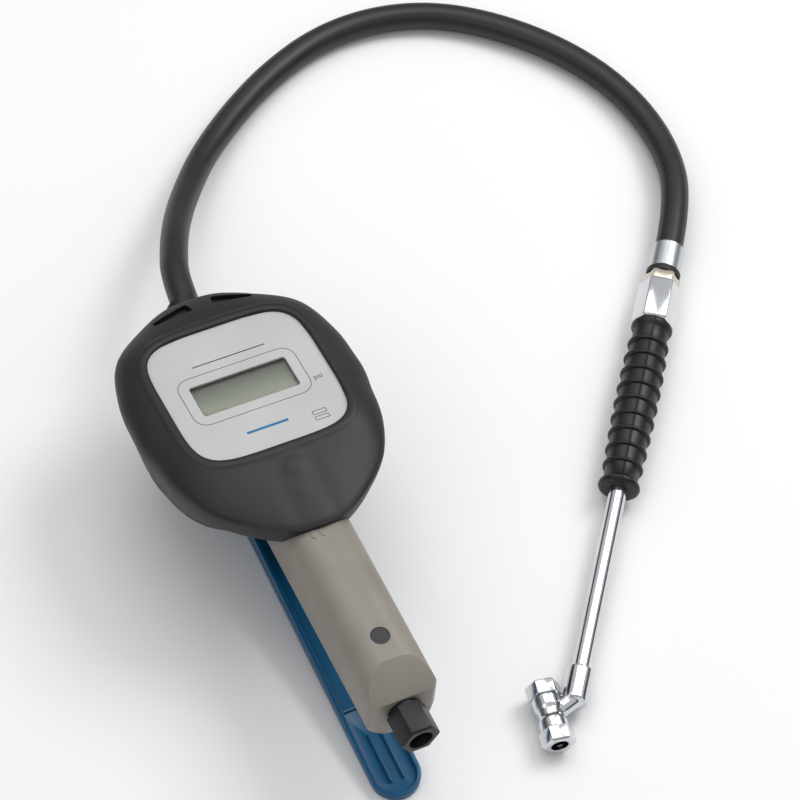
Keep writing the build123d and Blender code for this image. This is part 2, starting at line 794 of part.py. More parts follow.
with BuildPart() as inlet_adaptor:
    with BuildSketch(gun_plane(inlet_y)):
        RegularPolygon(inlet_flats / 2, 6, major_radius=False)
    extrude(amount=inlet_hex_length)
    chamfer(inlet_adaptor.faces().sort_by(Axis.Y)[0].edges(), 0.8)
    with BuildSketch(gun_plane(hex_back_y)):
        Circle(tube_bore)
    extrude(amount=spigot_length)
    with BuildSketch(gun_plane(inlet_y)):
        Circle(inlet_bore)
    extrude(amount=inlet_thread_length, mode=Mode.SUBTRACT)
    with BuildSketch(gun_plane(inlet_y)):
        Circle(filter_radius)
    extrude(amount=inlet_thread_length + filter_thick, mode=Mode.SUBTRACT)
    with BuildSketch(gun_plane(inlet_y)):
        Circle(passage_radius)
    extrude(amount=inlet_hex_length + spigot_length, mode=Mode.SUBTRACT)

with BuildPart() as inlet_filter:
    with BuildSketch(gun_plane(inlet_y + inlet_thread_length)):
        Circle(filter_radius)
    extrude(amount=filter_thick)

# ======== Lever ========
with BuildPart() as trigger_lever:
    # Side profile, swept across, then cut to the plan with its round tip.
    with BuildSketch(Plane(origin=lever.origin, x_dir=lever.y_dir, z_dir=(1, 0, 0))):
        with BuildLine():
            Polyline(
                (0, 0),
                (lever_length, 0),
                (lever_length, lever_front_height),
                (0, lever_tip_height),
                close=True,
            )
        make_face()
    extrude(amount=lever_width / 2, both=True)
    with BuildSketch(lever):
        with BuildLine():
            l1 = Line((lever_width / 2, lever_width / 2), (lever_width / 2, lever_length))
            l2 = Line(l1 @ 1, (-lever_width / 2, lever_length))
            l3 = Line(l2 @ 1, (-lever_width / 2, lever_width / 2))
            ThreePointArc(l3 @ 1, (0, 0), l1 @ 0)
        make_face()
    extrude(amount=2 * lever_front_height, mode=Mode.INTERSECT)
    inner = lever_width / 2 - lever_wall
    with BuildSketch(lever.offset(lever_floor)):
        with BuildLine():
            l4 = Line((inner, lever_width / 2), (inner, lever_length))
            l5 = Line(l4 @ 1, (-inner, lever_length))
            l6 = Line(l5 @ 1, (-inner, lever_width / 2))
            ThreePointArc(l6 @ 1, (0, lever_wall), l4 @ 0)
        make_face()
    extrude(amount=2 * lever_front_height, mode=Mode.SUBTRACT)
    # Rounded ears at the pivot, and the floor cut away in front of the valves for the bracket.
    with BuildSketch(Plane.XY.offset(-1)):
        with Locations((0, bracket_rear_y - 1.2 + lever_length / 2)):
            Rectangle(2 * inner, lever_length)
    extrude(amount=60, mode=Mode.SUBTRACT)
    with BuildSketch(Plane.YZ.offset(-lever_width)):
        with Locations((pivot_y, pivot_z)):
            Circle(pin_radius + run_gap)
    extrude(amount=2 * lever_width, mode=Mode.SUBTRACT)
    # Strengthening ribs on the floor: two along the tip and one across.
    rib_height = 1.6
    with BuildSketch(lever.offset(lever_floor)):
        with Locations((-3.2, 22), (3.2, 22)):
            Rectangle(1.2, 26)
        with Locations((0, 50)):
            Rectangle(2 * inner, 1.5)
    extrude(amount=rib_height)

ear_face = lever_width / 2
with BuildPart() as lever_pivot_pin:
    with BuildSketch(Plane.YZ.offset(-ear_face - 1.8)):
        with Locations((pivot_y, pivot_z)):
            Circle(pin_radius + 1.4)
    extrude(amount=1.5)
    with BuildSketch(Plane.YZ.offset(-ear_face - 0.3)):
        with Locations((pivot_y, pivot_z)):
            Circle(pin_radius)
    extrude(amount=2 * ear_face + 2.6)
    with BuildSketch(Plane.YZ.offset(ear_face + 0.5)):
        with Locations((pivot_y, pivot_z)):
            Circle(pin_radius)
            Circle(pin_radius - 0.5, mode=Mode.SUBTRACT)
    extrude(amount=0.8, mode=Mode.SUBTRACT)

with BuildPart() as pivot_clip:
    with BuildSketch(Plane.YZ.offset(ear_face + 0.5)):
        with Locations((pivot_y, pivot_z)):
            Circle(pin_radius + 1.6)
            Circle(pin_radius - 0.5, mode=Mode.SUBTRACT)
            with Locations((0, -pin_radius)):
                Rectangle(2.4, 2 * pin_radius, mode=Mode.SUBTRACT)
    extrude(amount=0.8)

# ======== Hose ========
hose_start_y = outlet_y + outlet_hex_length + 1.0
with BuildPart() as outlet_fitting:
    with BuildSketch(gun_plane(outlet_y, outlet_z, outlet_x)):
        RegularPolygon(outlet_hex_flats / 2, 6, major_radius=False)
    extrude(amount=outlet_hex_length)
    with BuildSketch(gun_plane(outlet_y, outlet_z, outlet_x)):
        Circle(gallery_radius)
    extrude(amount=outlet_hex_length, mode=Mode.SUBTRACT)

with BuildPart() as outlet_ferrule:
    with BuildSketch(gun_plane(outlet_y + outlet_hex_length, outlet_z, outlet_x)):
        Circle(hose_radius + ferrule_wall)
    extrude(amount=outlet_ferrule_length + 1)
    with BuildSketch(gun_plane(hose_start_y, outlet_z, outlet_x)):
        Circle(hose_radius)
    extrude(amount=outlet_ferrule_length, mode=Mode.SUBTRACT)

connector = Plane(origin=connector_end, z_dir=connector_heading)
lead = 34.0
hose_route = [
    (outlet_x, hose_start_y, outlet_z),
    (outlet_x, hose_start_y + 34, outlet_z),
    (11.5, 184, 41.0),
    (24.5, 208, 29.5),
    (41.5, 230, 19.5),
    (62.5, 250.5, 12.0),
    (89, 272, 8.2),
    (117, 289, hose_rest_z),
    (149, 301, hose_rest_z),
    (182, 302.5, hose_rest_z),
    (214, 293, hose_rest_z),
    (243, 271, hose_rest_z),
    (267, 241, hose_rest_z),
    (281.5, 207, hose_rest_z),
    (284, 169, 8.6),
    tuple(connector.from_local_coords((0, 0, -lead))),
    connector_end,
]
runs = [(Vector(*b) - Vector(*a)) for a, b in zip(hose_route, hose_route[1:])]
radii = []
for before, after in zip(runs, runs[1:]):
    turn = radians(before.get_angle(after))
    radii.append(0.45 * min(before.length, after.length) / tan(turn / 2))
print("hose radii", [round(radius, 1) for radius in radii])

with BuildPart() as hose:
    with BuildLine() as hose_line:
        FilletPolyline(*hose_route, radius=radii)
    with BuildSketch(gun_plane(hose_start_y, outlet_z, outlet_x)):
        Circle(hose_radius)
    sweep()
hose_length = sum(edge.length for edge in hose_line.edges())
print("hose length", round(hose_length, 1))
print("hose volume against section times length", hose.part.volume / (pi * hose_radius**2 * hose_length))

# ======== Connector ========
with BuildPart() as connector_ferrule:
    with BuildSketch(connector):
        Circle(hose_radius + ferrule_wall)
    extrude(amount=connector_ferrule_length)

washer_at = connector_ferrule_length
with BuildPart() as sealing_washer:
    with BuildSketch(connector.offset(washer_at)):
        Circle(hose_radius + 1.6)
    extrude(amount=washer_length)

nut_at = washer_at + washer_length
with BuildPart() as hose_tail_nut:
    with BuildSketch(connector.offset(nut_at)):
        RegularPolygon(tail_nut_flats / 2, 6, major_radius=False)
    extrude(amount=tail_nut_length)

hex_at = nut_at + tail_nut_length
with BuildPart() as connector_hex:
    with BuildSketch(connector.offset(hex_at)):
        RegularPolygon(long_hex_flats / 2, 6, major_radius=False)
    extrude(amount=long_hex_length)
    chamfer(connector_hex.faces().filter_by(Plane(origin=(0, 0, 0), z_dir=connector.z_dir)).edges(), 1.2)

grip_at = hex_at + long_hex_length
with BuildPart() as stem_tube:
    with BuildSketch(connector.offset(grip_at)):
        Circle(stem_radius)
        Circle(stem_bore, mode=Mode.SUBTRACT)
    extrude(amount=stem_total_length)

ring_pitch = (grip_length - 2 * flange_width) / (grip_ring_count + 1)
with BuildPart() as grip_sleeve:
    with BuildSketch(Plane(origin=connector.origin, x_dir=connector.x_dir, z_dir=-connector.y_dir)):
        with BuildLine():
            Polyline(
                (stem_radius, grip_at),
                (flange_radius, grip_at),
                (flange_radius, grip_at + flange_width),
                (grip_core_radius, grip_at + flange_width),
            )
            ThreePointArc(
                (grip_core_radius, grip_at + flange_width),
                (grip_core_radius + grip_belly, grip_at + grip_length / 2),
                (grip_core_radius, grip_at + grip_length - flange_width),
            )
            Polyline(
                (grip_core_radius, grip_at + grip_length - flange_width),
                (flange_radius, grip_at + grip_length - flange_width),
                (flange_radius, grip_at + grip_length),
                (stem_radius, grip_at + grip_length),
                (stem_radius, grip_at),
            )
        make_face()
    revolve(axis=Axis(connector.origin, connector.z_dir))
    for ring in range(1, grip_ring_count + 1):
        along = flange_width + ring * ring_pitch
        share = 2 * along / grip_length - 1
        core = grip_core_radius + grip_belly * (1 - share**2)
        with BuildSketch(connector.offset(grip_at + along - ring_width / 2)):
            Circle(core + ring_height)
            Circle(core - 1.5, mode=Mode.SUBTRACT)
        extrude(amount=ring_width)

head = Plane(origin=head_centre, z_dir=head_heading)
socket_depth = 12.0
neck_at = grip_at + stem_total_length + socket_length - socket_depth - 3
neck_from = connector.from_local_coords((0, 0, neck_at))
neck_vector = Vector(*head_centre) - neck_from
cap_at = barrel_half_length
chamber_depth = 6.0
with BuildPart() as twin_head:
    with BuildSketch(head.offset(-barrel_half_length)):
        Circle(barrel_radius)
    extrude(amount=2 * barrel_half_length)
    with BuildSketch(connector.offset(grip_at + stem_total_length - socket_depth)):
        Circle(socket_radius)
    extrude(amount=socket_length)
    with BuildSketch(Plane(origin=neck_from, z_dir=neck_vector)):
        Circle(neck_radius)
    extrude(amount=neck_vector.length)
    with BuildSketch(connector.offset(grip_at + stem_total_length - socket_depth)):
        Circle(stem_radius)
    extrude(amount=socket_depth, mode=Mode.SUBTRACT)
    for end in (-1, 1):
        with BuildSketch(head.offset(end * cap_at)):
            Circle(5.0)
        extrude(amount=-end * chamber_depth, mode=Mode.SUBTRACT)
    with BuildSketch(head.offset(-barrel_half_length)):
        Circle(pin_stem_radius + run_gap)
    extrude(amount=2 * barrel_half_length, mode=Mode.SUBTRACT)
    with BuildSketch(Plane(origin=neck_from, z_dir=neck_vector)):
        Circle(1.6)
    extrude(amount=neck_vector.length, mode=Mode.SUBTRACT)
    with BuildSketch(connector.offset(grip_at + stem_total_length)):
        Circle(1.8)
    extrude(amount=socket_length - socket_depth - 3, mode=Mode.SUBTRACT)


def head_end(end):
    """The cap, the rubber seal and the sliding pin of one end; end is 1 at the front and -1 at the rear."""
    outward = head if end > 0 else Plane(origin=head_centre, z_dir=-head.z_dir)
    with BuildPart() as cap:
        with BuildSketch(outward.offset(cap_at)):
            RegularPolygon(cap_flats / 2, 6, major_radius=False)
        extrude(amount=cap_length)
        chamfer(cap.faces().sort_by(Axis(outward.origin, outward.z_dir))[-1].edges(), 0.8)
        with BuildSketch(outward.offset(cap_at)):
            Circle(5.0)
        extrude(amount=cap_length - cap_mouth_length, mode=Mode.SUBTRACT)
        with BuildSketch(outward.offset(cap_at)):
            Circle(cap_mouth)
        extrude(amount=cap_length, mode=Mode.SUBTRACT)
    with BuildPart() as seal:
        with BuildSketch(outward.offset(cap_at + cap_length - cap_mouth_length - 3.0)):
            Circle(5.0)
            Circle(seal_bore, mode=Mode.SUBTRACT)
        extrude(amount=3.0)
    with BuildPart() as pin:
        with BuildSketch(outward.offset(1.5 + pin_travel / 2)):
            Circle(pin_stem_radius)
        extrude(amount=cap_at + 1.5 - pin_travel / 2)
        with BuildSketch(outward.offset(cap_at - chamber_depth + pin_travel + 0.4)):
            Circle(pin_flange_radius)
        extrude(amount=1.2)
    return cap, seal, pin


front_cap, front_seal, front_depressor_pin = head_end(1)
rear_cap, rear_seal, rear_depressor_pin = head_end(-1)

# ======== Names and files ========
pieces = {
    "rubber_boot": rubber_boot,
    "facia_panel": facia_panel,
    "display_lens": display_lens,
    "front_case": front_case,
    "case_seal": case_seal,
    "rear_case": rear_case,
    "case_screws": case_screws,
    "lcd_module": lcd_module,
    "lcd_holder": lcd_holder,
    "elastomer_connectors": elastomer_connectors,
    "circuit_board": circuit_board,
    "board_screws": board_screws,
    "board_chips": board_chips,
    "pressure_sensor": pressure_sensor,
    "sensor_seal": sensor_seal,
    "batteries": batteries,
    "battery_contacts": battery_contacts,
    "battery_cover": battery_cover,
    "battery_cover_screws": battery_cover_screws,
    "valve_body": valve_body,
    "inlet_valve_stem": inlet_valve_stem,
    "inlet_valve_seal": inlet_valve_seal,
    "inlet_valve_spring": inlet_valve_spring,
    "inlet_valve_cap": inlet_valve_cap,
    "exhaust_valve_stem": exhaust_valve_stem,
    "exhaust_valve_seal": exhaust_valve_seal,
    "exhaust_valve_spring": exhaust_valve_spring,
    "exhaust_valve_cap": exhaust_valve_cap,
    "lever_bracket": lever_bracket,
    "bracket_screws": bracket_screws,
    "upper_handle_shell": upper_handle_shell,
    "lower_handle_shell": lower_handle_shell,
    "shell_screws": shell_screws,
    "handle_tube": handle_tube,
    "tube_screw": tube_screw,
    "handle_plug": handle_plug,
    "inlet_adaptor": inlet_adaptor,
    "inlet_filter": inlet_filter,
    "trigger_lever": trigger_lever,
    "lever_pivot_pin": lever_pivot_pin,
    "pivot_clip": pivot_clip,
    "outlet_fitting": outlet_fitting,
    "outlet_ferrule": outlet_ferrule,
    "hose": hose,
    "connector_ferrule": connector_ferrule,
    "sealing_washer": sealing_washer,
    "hose_tail_nut": hose_tail_nut,
    "connector_hex": connector_hex,
    "stem_tube": stem_tube,
    "grip_sleeve": grip_sleeve,
    "twin_head": twin_head,
    "front_cap": front_cap,
    "rear_cap": rear_cap,
    "front_seal": front_seal,
    "rear_seal": rear_seal,
    "front_depressor_pin": front_depressor_pin,
    "rear_depressor_pin": rear_depressor_pin,
}
for label, piece in pieces.items():
    finish(piece, label)
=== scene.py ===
from math import cos, pi, radians, sin

import bmesh
import bpy
import numpy as np
from mathutils import Matrix, Vector


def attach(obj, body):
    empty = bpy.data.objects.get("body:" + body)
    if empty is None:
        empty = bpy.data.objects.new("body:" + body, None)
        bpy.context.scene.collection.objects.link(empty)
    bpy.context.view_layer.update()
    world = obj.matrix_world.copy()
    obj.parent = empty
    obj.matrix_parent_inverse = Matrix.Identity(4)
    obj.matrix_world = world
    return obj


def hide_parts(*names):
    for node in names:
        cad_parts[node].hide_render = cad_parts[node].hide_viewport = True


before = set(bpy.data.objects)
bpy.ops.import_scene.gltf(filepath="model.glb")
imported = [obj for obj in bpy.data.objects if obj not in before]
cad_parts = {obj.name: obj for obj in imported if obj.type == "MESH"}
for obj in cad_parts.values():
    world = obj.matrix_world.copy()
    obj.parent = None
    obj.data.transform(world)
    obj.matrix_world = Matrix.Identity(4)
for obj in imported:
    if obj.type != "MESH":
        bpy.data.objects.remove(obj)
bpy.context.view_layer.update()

MM = 0.001
bpy.ops.object.select_all(action="DESELECT")

# ---------------------------------------------------------------- Studio
# A white product table under three large soft boxes and a pale surround.
# The camera is a long lens, high over the handle's left side and turned a little about its own axis.


def linear(hex_colour, alpha=1.0):
    """An sRGB hex colour as the linear values that the shaders take."""
    parts = [int(hex_colour[i : i + 2], 16) / 255 for i in (1, 3, 5)]
    return [p / 12.92 if p <= 0.04045 else ((p + 0.055) / 1.055) ** 2.4 for p in parts] + [alpha]


def add_node(material, kind, links=(), **settings):
    """Adds a node: its settings by socket or property name, and its links as (input, node, output)."""
    node = material.node_tree.nodes.new(kind)
    for name, value in settings.items():
        socket = next((s for s in node.inputs if s.name.replace(" ", "_") == name), None)
        if socket is not None:
            socket.default_value = value
        else:
            setattr(node, name, value)
    for into, source, out in links:
        material.node_tree.links.new(source.outputs[out], node.inputs[into])
    return node


def new_material(name, colour, roughness, metallic=0.0):
    """A material with its colour and roughness on the shader's own sockets."""
    material = bpy.data.materials.new(name)
    material.use_nodes = True
    shader = material.node_tree.nodes["Principled BSDF"]
    shader.inputs["Base Color"].default_value = linear(colour)
    shader.inputs["Roughness"].default_value = roughness
    shader.inputs["Metallic"].default_value = metallic
    return material, shader


def texture_place(material):
    """Object coordinates, in metres."""
    place = add_node(material, "ShaderNodeTexCoord")
    return add_node(material, "ShaderNodeMapping", [("Vector", place, "Object")])


def vary(material, shader, grain_mm, low, high, roughness, bump_mm):
    """Noise of a real grain size that varies the colour and the roughness and raises the surface."""
    broad_mm = 28
    place = texture_place(material)
    grain = add_node(
        material, "ShaderNodeTexNoise", [("Vector", place, "Vector")], Scale=1 / (grain_mm * MM), Detail=4.0
    )
    broad = add_node(
        material, "ShaderNodeTexNoise", [("Vector", place, "Vector")], Scale=1 / (broad_mm * MM), Detail=3.0
    )
    tint = add_node(material, "ShaderNodeValToRGB", [("Fac", broad, "Fac")])
    tint.color_ramp.elements[0].position = 0.3
    tint.color_ramp.elements[0].color = linear(low)
    tint.color_ramp.elements[1].position = 0.7
    tint.color_ramp.elements[1].color = linear(high)
    gloss = add_node(
        material, "ShaderNodeMapRange", [("Value", broad, "Fac")], To_Min=roughness[0], To_Max=roughness[1]
    )
    raised = add_node(
        material, "ShaderNodeBump", [("Height", grain, "Fac")], Strength=0.6, Distance=bump_mm * MM
    )
    links = material.node_tree.links
    links.new(tint.outputs["Color"], shader.inputs["Base Color"])
    links.new(gloss.outputs["Result"], shader.inputs["Roughness"])
    links.new(raised.outputs["Normal"], shader.inputs["Normal"])


aim = Vector((0.0768, 0.0529, 0.0462))
azimuth, elevation, roll = radians(-30.34), radians(54.42), radians(6.3)
distance = 2.05
camera_data = bpy.data.cameras.new("camera")
camera_data.lens = 193.5
camera = bpy.data.objects.new("camera", camera_data)
bpy.context.scene.collection.objects.link(camera)
turn = Matrix.Rotation(azimuth, 4, "Z") @ Matrix.Rotation(pi / 2 - elevation, 4, "X")
turn = turn @ Matrix.Rotation(roll, 4, "Z")
camera.matrix_world = Matrix.Translation(aim) @ turn @ Matrix.Translation((0, 0, distance))
bpy.context.scene.camera = camera

table_size, table_drop = 12, 0.0002
bpy.ops.mesh.primitive_plane_add(size=table_size, location=(0, 0, -table_drop))
floor = bpy.context.object
floor.name = "table"
# Matt white paint: it takes soft shadows and no reflections.
table_paint, shader = new_material("white_table_paint", "#f4f4f4", 0.6)
floor.data.materials.append(table_paint)

world = bpy.data.worlds.new("surround")
bpy.context.scene.world = world
world.use_nodes = True
sky = world.node_tree.nodes["Background"]
sky.inputs["Strength"].default_value = 0.66
# The surround is white overhead, with a darker band low down that the plated pieces show as dark streaks.
direction = world.node_tree.nodes.new("ShaderNodeTexCoord")
height = world.node_tree.nodes.new("ShaderNodeSeparateXYZ")
band = world.node_tree.nodes.new("ShaderNodeValToRGB")
world.node_tree.links.new(direction.outputs["Generated"], height.inputs["Vector"])
world.node_tree.links.new(height.outputs["Z"], band.inputs["Fac"])
world.node_tree.links.new(band.outputs["Color"], sky.inputs["Color"])
band.color_ramp.elements[0].position = 0.0
band.color_ramp.elements[0].color = linear("#d8dadc")
band.color_ramp.elements[1].position = 1.0
band.color_ramp.elements[1].color = (1, 1, 1, 1)
for place, colour in ((0.12, "#50545a"), (0.3, "#5a5e64"), (0.42, "#f2f3f4")):
    band.color_ramp.elements.new(place).color = linear(colour)
for name, place, size, power in (
    ("soft_box_left", (-1.5, -0.6, 1.9), 1.2, 4),
    ("soft_box_right", (1.4, 0.3, 1.8), 1.0, 19),
    ("soft_box_top", (0.1, 0.9, 2.3), 1.6, 13),
):
    lamp = bpy.data.lights.new(name, "AREA")
    lamp.size = size
    lamp.energy = power
    holder = bpy.data.objects.new(name, lamp)
    holder.location = place
    holder.rotation_euler = (aim - Vector(place)).to_track_quat("-Z", "Y").to_euler()
    bpy.context.scene.collection.objects.link(holder)
bpy.context.scene.view_settings.view_transform = "Standard"

# ---------------------------------------------------------------- Hose
# Smooth black rubber air hose, 14 mm over an 8 mm bore, extruded over a fabric braid. It leaves the nose
# of the gauge, comes down to the table and bends round to the connector.
hose_radius = 7.0
rest = hose_radius + 0.05
lead = 34.0
ferrule_mouth = Vector((253.0, 105.6, 12.5))
connector_axis = Vector((-0.596, -0.803, -0.0118)).normalized()
hose_route = [
    (2.0, 121.0, 51.0),
    (4.0, 154.5, 51.0),
    (15.2, 182, 41.5),
    (28.2, 206, 30.2),
    (44.0, 228.5, 19.8),
    (62.5, 250.5, 12.0),
    (89, 272, 8.2),
    (117, 289, rest),
    (149, 301, rest),
    (182, 302.5, rest),
    (214, 293, rest),
    (243, 271, rest),
    (267, 241, rest),
    (281.5, 207, rest),
    (284, 169, 8.6),
    ferrule_mouth - connector_axis * lead,
    ferrule_mouth,
]
curve = bpy.data.curves.new("air_hose", "CURVE")
curve.dimensions = "3D"
curve.bevel_depth = hose_radius * MM
curve.bevel_resolution = 8
curve.resolution_u = 16
curve.use_fill_caps = True
spline = curve.splines.new("NURBS")
spline.points.add(len(hose_route) - 1)
for point, place in zip(spline.points, hose_route):
    point.co = (*(Vector(place) * MM), 1)
spline.order_u = 3
spline.use_endpoint_u = True
air_hose = bpy.data.objects.new("air_hose", curve)
bpy.context.scene.collection.objects.link(air_hose)
# Satin black rubber: one soft highlight along the top, with a fine grain.
hose_rubber, shader = new_material("smooth_black_hose_rubber", "#1a1a1b", 0.42)
vary(hose_rubber, shader, 0.6, "#161617", "#1e1e1f", (0.36, 0.5), 0.05)
curve.materials.append(hose_rubber)
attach(air_hose, "gun")
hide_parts("hose")

# ---------------------------------------------------------------- Rubber boot
# A thick matt rubber boot, moulded in one piece, that the case is pushed into from below. It has a raised
# lip round the facia, two hanging slots through its top edge and a neck that grips the handle.
# The facia leans towards the hose, and these give its middle and its own axes.
face_lean = radians(6.5)
face_middle = Vector((0, 63.23, 86.0))
face_frame = Matrix.Translation(face_middle * MM) @ Matrix.Rotation(-face_lean, 4, "X")
# One side of the outline, from the nose to the chin, as shares of the half width and of the length.
boot_shape = [(0, 1), (0.21, 0.99), (0.526, 0.855), (0.84, 0.655), (0.955, 0.39), (1.0, 0.08)]
boot_shape += [(0.965, -0.24), (0.87, -0.54), (0.77, -0.68), (0.6, -0.8), (0.43, -0.9), (0.22, -0.985)]
boot_shape += [(0, -1)]
ring_points = 240
angles = np.linspace(0, 2 * pi, ring_points, endpoint=False)


def boot_radius(half_width, nose, chin):
    """The boot's outline about the middle of the facia, as a radius for each angle from the nose."""
    x = np.array([p[0] for p in boot_shape]) * half_width
    y = np.array([p[1] * (nose if p[1] > 0 else chin) for p in boot_shape])
    turns = np.arctan2(x, y)
    radii = np.hypot(x, y)
    around = np.concatenate((turns, 2 * pi - turns[-2:0:-1], [2 * pi]))
    radii = np.concatenate((radii, radii[-2:0:-1], [radii[0]]))
    coarse = np.interp(angles, around, radii)
    # A running mean over a few points rounds the corners.
    reach = np.arange(-7, 8)
    spread = 3.2
    weights = np.exp(-((reach / spread) ** 2))
    return sum(w * np.roll(coarse, k) for k, w in zip(reach, weights)) / weights.sum()


def soft_square(half, power):
    """A square with bowed sides and round corners, as a radius for each angle from the nose."""
    return half / (np.abs(np.cos(angles)) ** power + np.abs(np.sin(angles)) ** power) ** (1 / power)


def ring_skin(name, rings):
    """A closed skin over rings of points with the same count, the last one joined to the first."""
    bm = bmesh.new()
    loops = [[bm.verts.new(p) for p in ring] for ring in rings]
    for near, far in zip(loops, loops[1:] + loops[:1]):
        for i in range(len(near)):
            j = (i + 1) % len(near)
            bm.faces.new((near[i], near[j], far[j], far[i]))
    bmesh.ops.recalc_face_normals(bm, faces=bm.faces)
    mesh = bpy.data.meshes.new(name)
    bm.to_mesh(mesh)
    bm.free()
    piece = bpy.data.objects.new(name, mesh)
    bpy.context.scene.collection.objects.link(piece)
    return piece


def select_only(piece):
    """Makes a piece the only selected object."""
    bpy.ops.object.select_all(action="DESELECT")
    piece.select_set(True)
    bpy.context.view_layer.objects.active = piece


def settle(piece, place=None):
    """Moves a finished piece's place into its mesh."""
    select_only(piece)
    if place is not None:
        piece.matrix_world = place @ piece.matrix_world
    bpy.ops.object.transform_apply(location=True, rotation=True, scale=True)


def cut(piece, tool):
    """Cuts a tool out of a piece and throws the tool away."""
    select_only(piece)
    modifier = piece.modifiers.new("cut", "BOOLEAN")
    modifier.operation = "DIFFERENCE"
    modifier.solver = "EXACT"
    modifier.object = tool
    bpy.ops.object.modifier_apply(modifier="cut")
    bpy.data.objects.remove(tool)


def smooth(piece, angle):
    """Shades a piece smooth, apart from edges sharper than the angle."""
    select_only(piece)
    bpy.ops.object.shade_smooth_by_angle(angle=radians(angle))


def round_edges(piece, axis, width, segments):
    """Rounds the edges that run along one axis, in edit mode."""
    select_only(piece)
    bpy.ops.object.mode_set(mode="EDIT")
    bpy.ops.mesh.select_mode(type="EDGE")
    bpy.ops.mesh.select_all(action="DESELECT")
    bm = bmesh.from_edit_mesh(piece.data)
    for edge in bm.edges:
        run = edge.verts[0].co - edge.verts[1].co
        if abs(run[axis]) > 0.999 * run.length:
            edge.select_set(True)
    bmesh.update_edit_mesh(piece.data)
    bpy.ops.mesh.bevel(offset=width * MM, segments=segments)
    bpy.ops.mesh.select_mode(type="VERT")
    bpy.ops.object.mode_set(mode="OBJECT")


def block(x, y, z, place=None, rounded=0.0):
    """A block between two limits on each axis, in millimetres, with its upright edges rounded."""
    middle = [(a[0] + a[1]) / 2 * MM for a in (x, y, z)]
    bpy.ops.mesh.primitive_cube_add(size=1, location=middle)
    piece = bpy.context.object
    piece.scale = [(a[1] - a[0]) * MM for a in (x, y, z)]
    bpy.ops.object.transform_apply(location=True, rotation=True, scale=True)
    if rounded:
        round_edges(piece, 2, rounded, 8)
    if place is not None:
        settle(piece, place)
    return piece


# Radii for each angle: the lip's opening, the pocket that holds the case, the widest line and the base.
lip = soft_square(39.9, 4.8)
pocket = soft_square(44.9, 5.6)
widest = boot_radius(57.0, 68.4, 83.5)
base = boot_radius(49.0, 59.5, 54.0)
underside, pocket_floor = -45.5, -42.1
taper_top, taper_drop, taper_in = -20.5, 22.5, 2.4
# The profile runs round the wall, from under the lip, as (radius, height above the facia). First the lip.
profile = [(lip + 0.25, -1.0), (lip, -0.4), (lip, 1.0), (lip + 0.35, 1.5), (lip + 1.0, 1.8)]
profile += [(lip + 2.6, 1.75), (lip + 4.2, 1.6), (lip + 4.9, 1.0)]
# Then the top, which falls to the widest line in a rounded shoulder, and more evenly towards the chin.
edge_from, edge_height, edge_drop = lip + 5.7, 0.7, 10.7
chin_share = np.clip(-np.cos(angles), 0, 1) ** 2
straight = 0.42 + 0.33 * chin_share
shoulder_power = 2.2
for s in np.linspace(0.0, 1.0, 25)[1:]:
    fall = straight * s + (1 - straight) * (1 - (1 - s**shoulder_power) ** (1 / shoulder_power))
    profile.append((edge_from + (widest - edge_from) * s, edge_height - edge_drop * fall))
# Then the side, which tapers to the underside, and the pocket inside.
profile += [(widest - 0.1, -12.0), (widest - 0.9, -16.0), (widest - taper_in, taper_top)]
for s in np.linspace(0, 1, 8)[1:]:
    profile.append((widest - taper_in + (base - widest + taper_in) * s, taper_top - taper_drop * s))
profile += [(base - 0.8, -44.6), (base - 2.2, -45.3), (base - 4.5, underside)]
profile += [(base * share, underside) for share in (0.7, 0.4, 0.1)]
profile += [(base * share, pocket_floor) for share in (0.1, 0.4, 0.7)]
profile += [(np.minimum(pocket, base - 1.4), pocket_floor), (np.minimum(pocket, widest - 6.0), -24.0)]
profile += [(pocket, -2.0), (pocket, -1.0)]
rings = []
for radius, depth in profile:
    radius = np.broadcast_to(radius, angles.shape)
    depths = np.broadcast_to(depth, angles.shape)
    rings.append([(r * sin(a) * MM, r * cos(a) * MM, d * MM) for r, a, d in zip(radius, angles, depths)])
boot = ring_skin("moulded_boot", rings)
# A low round pip and a smaller one on the chin, and a soft crease down to each side of the handle.
chin_from, chin_depth = -44, -13
crease_x, crease_width, crease_height, crease_run = 9, 4.0, 0.5, 12
for vertex in boot.data.vertices:
    x, y, depth = (c / MM for c in vertex.co)
    if depth > chin_depth and y < chin_from:
        pip = 0.7 / (1 + (np.hypot(x, y + 52.6) / 4.6) ** 8)
        small_pip = 0.35 / (1 + (np.hypot(x + 1.5, y + 66) / 2.6) ** 6)
        crease = crease_height * np.exp(-(((abs(x) - crease_x) / crease_width) ** 2))
        crease *= min(1.0, (chin_from - y) / crease_run)
        vertex.co.z += (pip + small_pip - crease) * MM
settle(boot, face_frame)
# The neck fits the handle all round.
handle_mid_z, neck_half_width, neck_half_height, neck_corner = 63.0, 17.3, 20.55, 13.3
neck_z = (handle_mid_z - neck_half_height, handle_mid_z + neck_half_height)
neck = block((-neck_half_width, neck_half_width), (-160, 8), neck_z)
round_edges(neck, 1, neck_corner, 12)
cut(boot, neck)
# Round holes along the gun, for the valve block's rear boss and for the hose.
for radius, length, middle in ((10.3, 21, (0, 0.010, 0.063)), (11, 40, (0.002, 0.119, 0.051))):
    bpy.ops.mesh.primitive_cylinder_add(vertices=64, radius=radius * MM, depth=length * MM, location=middle)
    hole = bpy.context.object
    hole.rotation_euler = (pi / 2, 0, 0)
    settle(hole)
    cut(boot, hole)
